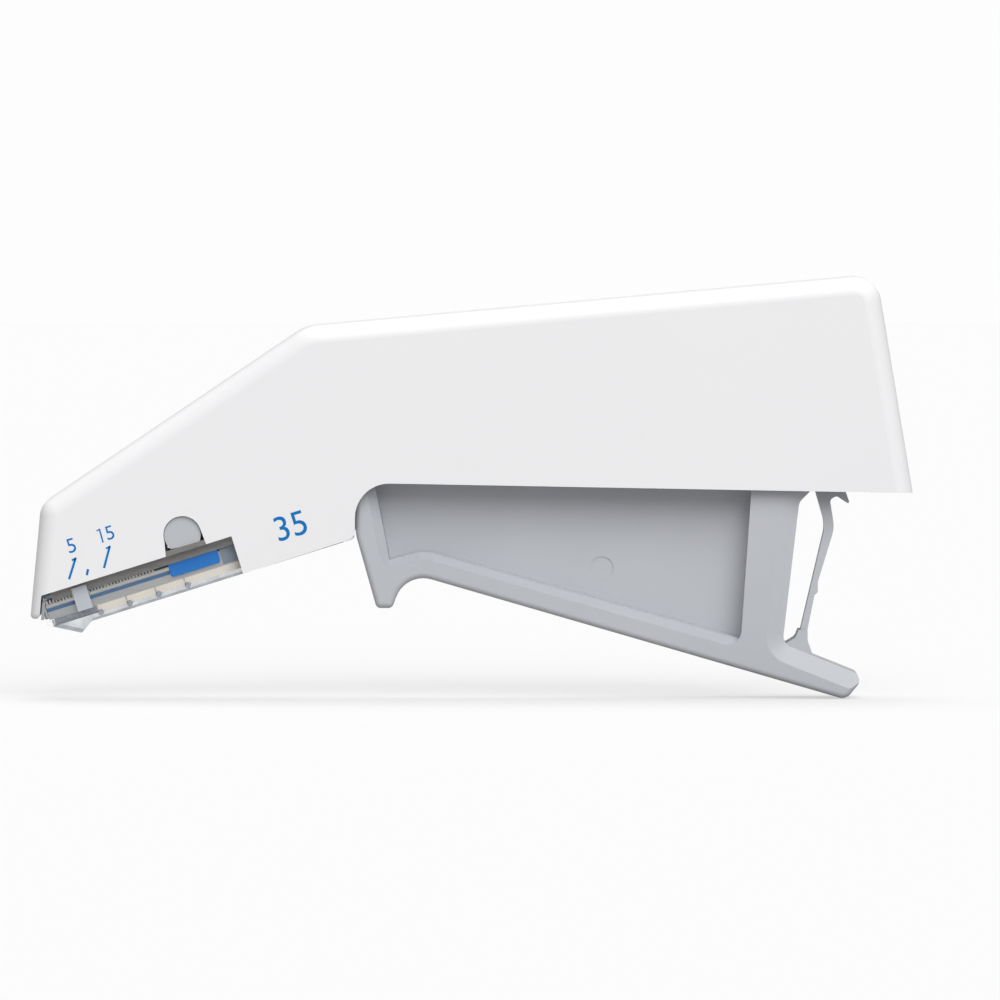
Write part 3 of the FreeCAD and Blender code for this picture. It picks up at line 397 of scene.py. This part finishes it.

# Smoke-grey polypropylene for the cover tabs. Behind the pusher the same grey is painted shade: a thin dark
# sheet stands where the trough's inside is in shade.
smokeGreyAndShadePolypropylene = {
    "colour": "7d8da1",
    "shade": "a3acb8",
    "roughness": 0.4,
    "ior": 1.49,
    "specular": 0.5,
    "grainMm": 0.4,
    "grainBump": 0.02,
    "driftMm": 2.5,
}

# Print: blue pad-printing ink, a film a few hundredths of a millimetre thick
padPrintInk = {
    "colour": "0070b6",
    "roughness": 0.5,
    "specular": 0.15,
    "coverMm": 0.25,
    "unevenness": 0.08,
}


def makePadPrintInk(name, look):
    material = newMaterial(name)
    coords = addNode(material, "ShaderNodeTexCoord")
    cover = addNode(material, "ShaderNodeTexNoise", {"Scale": perMetre(look["coverMm"])},
                    {"Vector": (coords, "Object")})
    sheen = addNode(material, "ShaderNodeMapRange",
                    {"To Min": look["roughness"] - look["unevenness"],
                     "To Max": look["roughness"] + look["unevenness"]},
                    {"Value": (cover, "Fac")})
    shader = addNode(material, "ShaderNodeBsdfPrincipled",
                     {"Base Color": linear(look["colour"]), "Specular IOR Level": look["specular"]},
                     {"Roughness": (sheen, "Result")})
    return finishMaterial(material, shader)


def paint(nodeName, material):
    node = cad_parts[nodeName]
    node.data.materials.clear()
    node.data.materials.append(material)


housingSkin = makeMouldedPlastic("satin moulded ABS, white", housingAbs)
triggerSkin = makeMouldedPlastic("moulded acetal, light grey", triggerAcetal)
pusherSkin = makeMouldedPlastic("moulded polypropylene, blue", pusherPolypropylene)
stripSkin = makeMouldedPlastic("moulded acetal, ivory", stripAcetal)
clearSkin = makeClearPolycarbonate("polished polycarbonate, clear", clearPolycarbonate)
frostedSkin = makeClearPolycarbonate("blasted polycarbonate, frosted", frostedPolycarbonate)
bandSkin = makeMouldedPlastic("moulded polypropylene, dull blue", bandPolypropylene)
pegSkin = makeClearPolycarbonate("moulded polycarbonate, smoky pegs", smokyPolycarbonate)
smokeGreyAndShadeSkin = makeMouldedPlastic("moulded polypropylene, smoke grey", smokeGreyAndShadePolypropylene)
polishedAndHighlightSkin = makeRolledSteel("polished stainless, painted highlight on the track lip", polishedAndHighlightStainless)
steelSkin = makeRolledSteel("rolled stainless strip", rolledStainless)
trackSkin = makeRolledSteel("rolled stainless track", trackStainless)
wireSkin = makeRolledSteel("drawn stainless wire", drawnStainless)
rowSkin = makeStapleRow("drawn stainless wire, packed in a row", stapleRow)
inkSkin = makePadPrintInk("pad-printed ink, blue", padPrintInk)

finishes = {
    "housing_left": housingSkin,
    "housing_right": housingSkin,
    "trigger": triggerSkin,
    "return_leaf": triggerSkin,
    "former_carrier": triggerSkin,
    "cartridge_body": clearSkin,
    "cartridge_end_plug": clearSkin,
    "cartridge_pads": frostedSkin,
    "cartridge_cover": steelSkin,
    "staple_track": trackSkin,
    "anvil_rail": steelSkin,
    "anvil": polishedAndHighlightSkin,
    "former": steelSkin,
    "guide_strip": stripSkin,
    "staple_pusher": pusherSkin,
    "ready_staple": wireSkin,
    "staple_stack": rowSkin,
    "pusher_spring": wireSkin,
    "spring_rod": steelSkin,
    "ejector_spring": polishedAndHighlightSkin,
}
for nodeName, material in finishes.items():
    paint(nodeName, material)
print("materials made:", len(set(finishes.values())) + 1)


def deselectAll():
    bpy.ops.object.select_all(action="DESELECT")


def settle(piece, name, material, body):
    # Names a finished piece, bakes its place into its mesh and lets it move with a body
    deselectAll()
    piece.name = name
    piece.data.name = name
    piece.select_set(True)
    bpy.context.view_layer.objects.active = piece
    bpy.ops.object.transform_apply(location=True, rotation=True, scale=True)
    piece.data.materials.clear()
    piece.data.materials.append(material)
    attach(piece, body)
    return piece


# Printed scale on the right side: figures and strokes beside the window, and the staple count further back.
# x and z are in mm from the origin, height is a figure's height in mm.
print_ = {
    "film": 0.02,
    "surfaceY": -9.0,
    "angle": 17.4,
    # A figure's height as a share of the font's size
    "capShare": 0.7,
    # Where a flag points, how much of it passes the stroke, and its width as a share of the stroke's
    "flagWay": (-0.86, 0, -0.5),
    "flagPast": 0.2,
    "flagWidth": 0.8,
    "figures": [
        {"name": "figure5", "text": "5", "x": 4.75, "z": 13.25, "height": 2.55},
        {"name": "figure15", "text": "5", "x": 11.45, "z": 15.5, "height": 2.45},
        {"name": "figure35", "text": "35", "x": 43.0, "z": 16.6, "height": 4.3},
    ],
    # A flag of this length hangs at the top left of a stroke, as on a figure one
    "strokes": [
        {"name": "stroke5", "from": (4.3, 7.5), "to": (5.45, 11.15), "width": 0.4, "flag": 0.75},
        {"name": "stroke10", "from": (7.4, 8.2), "to": (7.62, 9.25), "width": 0.42, "flag": 0},
        {"name": "stroke15", "from": (10.4, 9.45), "to": (11.4, 13.2), "width": 0.4, "flag": 0.75},
        {"name": "figureOne", "from": (10.25, 13.9), "to": (9.6, 16.2), "width": 0.27, "flag": 0.6},
    ],
}


def makeFigure(figure):
    deselectAll()
    bpy.ops.object.text_add()
    piece = bpy.context.object
    piece.data.body = figure["text"]
    piece.data.align_x = "CENTER"
    piece.data.align_y = "CENTER"
    piece.data.size = figure["height"] / print_["capShare"] * mm
    piece.data.extrude = print_["film"] * mm
    bpy.ops.object.convert(target="MESH")
    piece = bpy.context.object
    piece.rotation_euler = (math.radians(90), 0, 0)
    bpy.ops.object.transform_apply(location=False, rotation=True, scale=False)
    piece.rotation_euler = (0, -math.radians(print_["angle"]), 0)
    piece.location = Vector((figure["x"], print_["surfaceY"], figure["z"])) * mm
    return settle(piece, figure["name"], inkSkin, "stapler_body")


def makeBar(start, end, width):
    # One straight dash of ink between two places on the side wall
    run = end - start
    bpy.ops.mesh.primitive_cube_add(size=1)
    piece = bpy.context.object
    piece.scale = (width * mm, print_["film"] * 2 * mm, run.length * mm)
    piece.location = (start + end) / 2 * mm
    piece.rotation_euler = (0, math.atan2(run.x, run.z), 0)
    return piece


def makeStroke(stroke):
    deselectAll()
    start = Vector((stroke["from"][0], print_["surfaceY"], stroke["from"][1]))
    end = Vector((stroke["to"][0], print_["surfaceY"], stroke["to"][1]))
    piece = makeBar(start, end, stroke["width"])
    if stroke["flag"]:
        hang = Vector(print_["flagWay"]) * stroke["flag"]
        makeBar(end + hang, end - hang * print_["flagPast"], stroke["width"] * print_["flagWidth"])
        piece.select_set(True)
        bpy.context.view_layer.objects.active = piece
        bpy.ops.object.join()
    return settle(piece, stroke["name"], inkSkin, "stapler_body")


for figure in print_["figures"]:
    makeFigure(figure)
for stroke in print_["strokes"]:
    makeStroke(stroke)
print("print made:", len(print_["figures"]) + len(print_["strokes"]), "marks")


# Small pieces behind the cartridge's clear wall, and the sill under the housing's notch. u runs back along
# the staple row, w square to it and y out from the middle plane, all in mm from the origin.
rowTrims = {
    "angle": 17.4,
    "bevel": 0.02,
    "bars": [
        # Painted highlight: a bright polished strip along the track's upper edge, where it catches the light
        {"name": "painted_highlight_lip", "u": (0.9, 32.2), "w": (2.05, 2.5), "y": (5.55, 5.62), "skin": polishedAndHighlightSkin},
        {"name": "guide_band", "u": (0.9, 32.2), "w": (1.3, 1.95), "y": (5.55, 5.62), "skin": bandSkin},
        # Painted shade: a thin dark sheet behind the pusher, where the trough's inside is in shade
        {"name": "painted_shade_behind_pusher", "u": (32.7, 50.0), "w": (0.15, 3.2), "y": (5.55, 5.62), "skin": smokeGreyAndShadeSkin},
        {"name": "cover_lip", "u": (2.5, 51.0), "w": (3.0, 3.4), "y": (6.22, 6.29), "skin": steelSkin},
        {"name": "cover_tab", "u": (1.0, 2.5), "w": (3.6, 4.3), "y": (6.06, 6.28), "skin": smokeGreyAndShadeSkin},
        {"name": "nose_floor", "u": (1.2, 9.3), "w": (-1.28, -0.1), "y": (6.1, 6.28), "skin": pegSkin},
        {"name": "notch_sill", "u": (23.5, 31.05), "w": (4.5, 5.4), "y": (8.46, 8.95), "skin": steelSkin},
    ],
    # Caps on the trough's pegs: a rib with a round knob at its lower end, at these places along the row
    "pegs": [9.4, 14.7, 20.0, 25.3],
    "pegRib": {"width": 0.2, "w": (-1.3, 0.1), "y": (7.24, 7.28)},
    "pegKnob": {"radius": 0.55, "w": -1.3, "aside": 0.45, "sides": 24},
}


def softenEdges(piece):
    bevel = piece.modifiers.new("soft edges", "BEVEL")
    bevel.width = rowTrims["bevel"] * mm
    bevel.segments = 2
    bevel.limit_method = "ANGLE"
    bpy.context.view_layer.objects.active = piece
    bpy.ops.object.modifier_apply(modifier=bevel.name)


def makeRowBlock(u, w, y, side):
    # A block between two places along the row, square to it, and across
    bpy.ops.mesh.primitive_cube_add(size=1)
    piece = bpy.context.object
    piece.scale = ((u[1] - u[0]) * mm, (y[1] - y[0]) * mm, (w[1] - w[0]) * mm)
    piece.location = (sum(u) / 2 * mm, side * sum(y) / 2 * mm, sum(w) / 2 * mm)
    bpy.ops.object.transform_apply(location=True, rotation=True, scale=True)
    softenEdges(piece)
    return piece


def makeRowTrim(bar, side):
    deselectAll()
    piece = makeRowBlock(bar["u"], bar["w"], bar["y"], side)
    piece.rotation_euler = (0, -math.radians(rowTrims["angle"]), 0)
    return settle(piece, bar["name"] + ("_left" if side > 0 else "_right"), bar["skin"], "stapler_body")


def makePegs(side):
    deselectAll()
    rib = rowTrims["pegRib"]
    knob = rowTrims["pegKnob"]
    pieces = []
    for u in rowTrims["pegs"]:
        pieces.append(makeRowBlock((u, u + rib["width"]), rib["w"], rib["y"], side))
        bpy.ops.mesh.primitive_cylinder_add(
            vertices=knob["sides"], radius=knob["radius"] * mm, depth=(rib["y"][1] - rib["y"][0]) * mm,
            location=((u + knob["aside"]) * mm, side * sum(rib["y"]) / 2 * mm, knob["w"] * mm),
            rotation=(math.radians(90), 0, 0))
        pieces.append(bpy.context.object)
        bpy.ops.object.transform_apply(location=True, rotation=True, scale=True)
        softenEdges(pieces[-1])
    for piece in pieces:
        piece.select_set(True)
    bpy.ops.object.join()
    piece = bpy.context.object
    piece.rotation_euler = (0, -math.radians(rowTrims["angle"]), 0)
    return settle(piece, "strip_pegs" + ("_left" if side > 0 else "_right"), pegSkin, "stapler_body")


for bar in rowTrims["bars"]:
    for side in (1, -1):
        makeRowTrim(bar, side)
for side in (1, -1):
    makePegs(side)
print("row trims made:", 2 * len(rowTrims["bars"]) + 2)


# Sloped walls of the two recesses in the trigger. Along each run, between two places in x and z, one plank
# slopes in from the recess's rim and a flatter one goes on to the web. A step is the distance from the
# middle plane and the height over the run, at its outer and its inner side, all in mm.
recessWalls = {
    "runs": [
        ((55.9, 24.0), (58.9, 8.6)),
        ((58.9, 8.7), (65.4, 10.5)),
        ((65.4, 10.5), (67.2, 10.42)),
        ((67.2, 10.42), (121.4, -4.7)),
    ],
    "into": 0.12,
    "steps": [((6.2, 0.0), (4.6, 1.65)), ((4.6, 1.65), (1.1, 1.9))],
    "thickness": 0.5,
    "overlap": 0.6,
    "sink": 0.2,
}


def makePlank(middle, run, lean, inward):
    # A plank whose upper face goes through the middle and holds both the run and the lean
    outward = run.cross(lean).normalized()
    if outward.dot(inward) < 0:
        outward.negate()
    place = middle - inward * recessWalls["into"] - outward * recessWalls["thickness"] / 2
    bpy.ops.mesh.primitive_cube_add(size=1)
    piece = bpy.context.object
    axes = Matrix((run.normalized(), lean.normalized(), run.cross(lean).normalized())).transposed().to_4x4()
    length = run.length + recessWalls["overlap"]
    sizes = Vector((length, lean.length + recessWalls["sink"], recessWalls["thickness"])) * mm
    piece.matrix_world = Matrix.Translation(place * mm) @ axes @ Matrix.Diagonal((*sizes, 1))
    return piece


def makeRecessWalls(side):
    deselectAll()
    walls = recessWalls
    pieces = []
    for (startX, startZ), (endX, endZ) in walls["runs"]:
        run = Vector((endX - startX, 0, endZ - startZ))
        middle = Vector((startX + endX, 0, startZ + endZ)) / 2
        inward = Vector((-run.z, 0, run.x)).normalized()
        for (outerY, outerRise), (innerY, innerRise) in walls["steps"]:
            outer = inward * outerRise + Vector((0, side * outerY, 0))
            inner = inward * innerRise + Vector((0, side * innerY, 0))
            pieces.append(makePlank(middle + (outer + inner) / 2, run, inner - outer, inward))
    for piece in pieces:
        piece.select_set(True)
    bpy.ops.object.join()
    name = "recess_wall" + ("_left" if side > 0 else "_right")
    return settle(bpy.context.object, name, triggerSkin, "trigger_body")


for side in (1, -1):
    makeRecessWalls(side)
print("recess walls made")


# Studio: white floor and surroundings, one broad light above and a broad fill from the camera's side
studio = {
    "floorX": 0.08,
    "floorZ": cadBox[0].z,
    "floorSize": 6.0,
    "floorGap": 0.0002,
    "cameraDistance": 2.4,
    "elevation": 2.0,
    "frameMm": 175.0,
    "lookAt": (79.45, 0.0, 21.0),
    "sensor": 36.0,
    "farthest": 50.0,
    "surroundLight": 0.42,
    "backdropLight": 0.985,
    "paper": 0.3,
    "paperGlow": 0.585,
    "paperBounce": 0.42,
    # name, direction towards the light, angle that it fills, strength
    "lights": [
        ("key above", (0.0, 0.28, 1.0), 40.0, 1.35),
        ("fill in front", (0.3, -1.0, 0.8), 50.0, 2.38),
    ],
}


def makeStudio():
    deselectAll()
    bpy.ops.mesh.primitive_plane_add(
        size=studio["floorSize"], location=(studio["floorX"], 0, studio["floorZ"] - studio["floorGap"]))
    floor = bpy.context.object
    floor.name = "floor"
    floorPaper = newMaterial("white studio paper")
    shader = addNode(floorPaper, "ShaderNodeBsdfPrincipled",
                     {"Base Color": (studio["paper"], studio["paper"], studio["paper"], 1), "Roughness": 1.0,
                      "Specular IOR Level": 0.0, "Emission Color": (1, 1, 1, 1),
                      "Emission Strength": studio["paperGlow"]})
    # The paper throws less light up at the stapler than the camera sees on it
    bounce = addNode(floorPaper, "ShaderNodeBsdfDiffuse", {"Color": (*[studio["paperBounce"]] * 3, 1)})
    seenHere = addNode(floorPaper, "ShaderNodeLightPath")
    both = addNode(floorPaper, "ShaderNodeMixShader")
    floorPaper.node_tree.links.new(seenHere.outputs["Is Camera Ray"], both.inputs[0])
    floorPaper.node_tree.links.new(bounce.outputs[0], both.inputs[1])
    floorPaper.node_tree.links.new(shader.outputs[0], both.inputs[2])
    floor.data.materials.append(finishMaterial(floorPaper, both))

    world = bpy.data.worlds.new("white surround")
    world.use_nodes = True
    nodes = world.node_tree.nodes
    nodes["Background"].inputs["Color"].default_value = (1, 1, 1, 1)
    nodes["Background"].inputs["Strength"].default_value = studio["surroundLight"]
    backdrop = nodes.new("ShaderNodeBackground")
    backdrop.inputs["Color"].default_value = (1, 1, 1, 1)
    backdrop.inputs["Strength"].default_value = studio["backdropLight"]
    seen = nodes.new("ShaderNodeLightPath")
    choose = nodes.new("ShaderNodeMixShader")
    world.node_tree.links.new(seen.outputs["Is Camera Ray"], choose.inputs[0])
    world.node_tree.links.new(nodes["Background"].outputs[0], choose.inputs[1])
    world.node_tree.links.new(backdrop.outputs[0], choose.inputs[2])
    world.node_tree.links.new(choose.outputs[0], nodes["World Output"].inputs["Surface"])
    bpy.context.scene.world = world

    # Both lights are far off and broad, so the paper is equally bright everywhere and the shadows are soft
    for name, direction, spread, strength in studio["lights"]:
        bpy.ops.object.light_add(type="SUN", location=Vector(direction))
        light = bpy.context.object
        light.name = name
        light.data.angle = math.radians(spread)
        light.data.energy = strength
        light.rotation_euler = Vector(direction).to_track_quat("Z", "Y").to_euler()

    look = Vector(studio["lookAt"]) * mm
    tilt = math.radians(studio["elevation"])
    place = look + Vector((0, -math.cos(tilt), math.sin(tilt))) * studio["cameraDistance"]
    bpy.ops.object.camera_add(location=place)
    camera = bpy.context.object
    camera.rotation_euler = (look - place).to_track_quat("-Z", "Y").to_euler()
    camera.data.sensor_width = studio["sensor"]
    camera.data.lens = studio["sensor"] * studio["cameraDistance"] / (studio["frameMm"] * mm)
    camera.data.clip_end = studio["farthest"]
    bpy.context.scene.camera = camera
    bpy.context.scene.view_settings.view_transform = "Standard"
    print("studio ready")


makeStudio()
